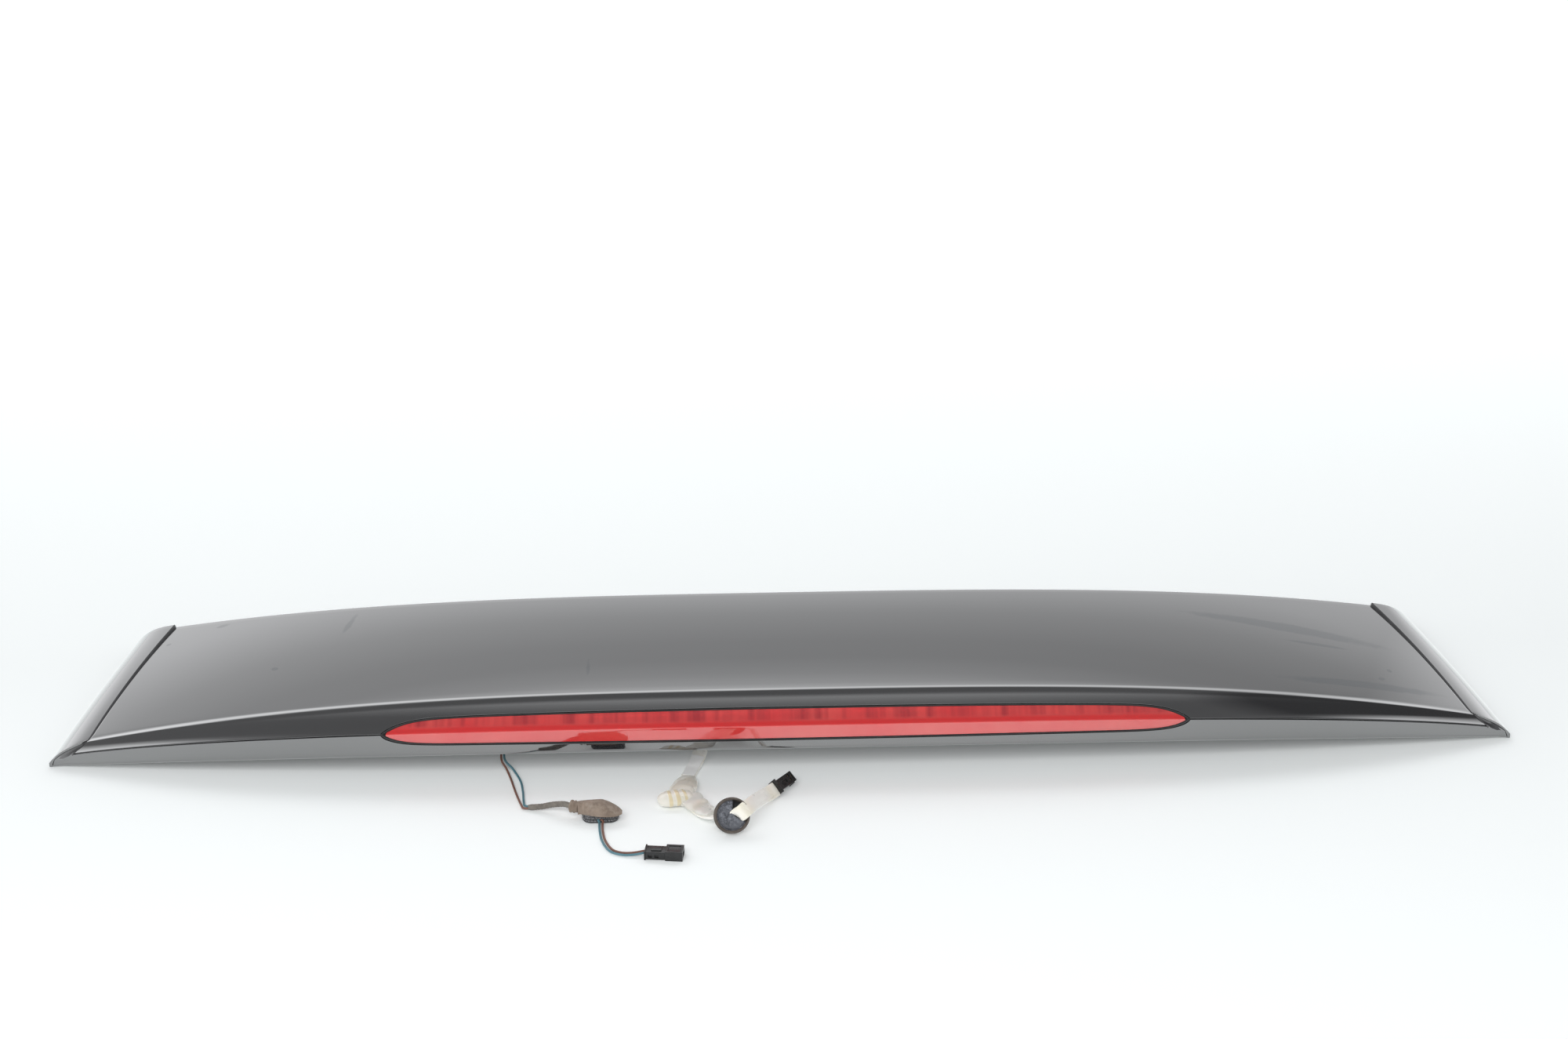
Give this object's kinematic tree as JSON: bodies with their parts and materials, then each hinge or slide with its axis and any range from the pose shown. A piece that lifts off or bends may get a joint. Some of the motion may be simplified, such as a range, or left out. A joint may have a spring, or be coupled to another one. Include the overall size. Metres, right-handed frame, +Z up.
{
  "type": "car tailgate spoiler",
  "caption": "Wide gloss black tailgate spoiler with swept end flanks, a pointed red brake lamp in its rear face, threaded studs underneath and two loose electrical leads.",
  "frame": {"origin": "under the middle of the moulding, on the surface that its two rear tips and four studs stand on", "axes": "+X across the car, +Y forward, towards the roof, +Z up; the rear face with the lamp looks along -Y"},
  "size_m": [1.2, 0.4038, 0.069],
  "materials": {
    "body_paint": "gloss black lacquer",
    "black_rubber": "matt",
    "foam": "matt closed-cell foam",
    "steel": "zinc plated",
    "white_plastic": "satin",
    "red_lens": "clear red, polished",
    "black_plastic": "fine grained",
    "mirror_plastic": "metallised",
    "board_green": "solder mask",
    "led_body": "clear",
    "blue_insulation": "satin",
    "brown_insulation": "satin",
    "sleeve_rubber": "dusty",
    "hood_rubber": "matt, dusty",
    "lead_film": "translucent film over a flat screen",
    "label_paper": "bare white tape",
    "wrap_film": "aged translucent tape",
    "contact_metal": "plated"
  },
  "bodies": {
    "root": {"upper_shell": "body_paint", "lower_shell": "body_paint", "front_seal": "black_rubber", "edge_pads": "foam", "mounting_studs": "steel", "stud_rings": "foam", "locating_pins": "white_plastic", "lamp_lens": "red_lens", "lamp_seal": "black_rubber", "lamp_housing": "black_plastic", "lamp_reflector": "mirror_plastic", "lamp_board": "board_green", "lamp_leds": "led_body", "lamp_plug": "black_plastic", "lamp_screws": "steel", "aerial_module": "black_plastic", "aerial_screws": "steel", "wire_bush": "black_rubber", "flat_bush": "black_rubber", "wire_blue": "blue_insulation", "wire_brown": "brown_insulation", "wire_sleeve": "sleeve_rubber", "dome_grommet": "hood_rubber", "grommet_plug": "black_rubber", "tail_wire_blue": "blue_insulation", "tail_wire_brown": "brown_insulation", "wire_connector": "black_plastic", "connector_cap": "black_plastic", "flat_lead": "lead_film", "lead_label": "label_paper", "lead_wrap": "wrap_film", "flat_lead_mid": "lead_film", "round_grommet": "black_rubber", "flat_lead_tail": "lead_film", "lead_connector": "black_plastic", "connector_contacts": "contact_metal"}
  },
  "joints": []
}
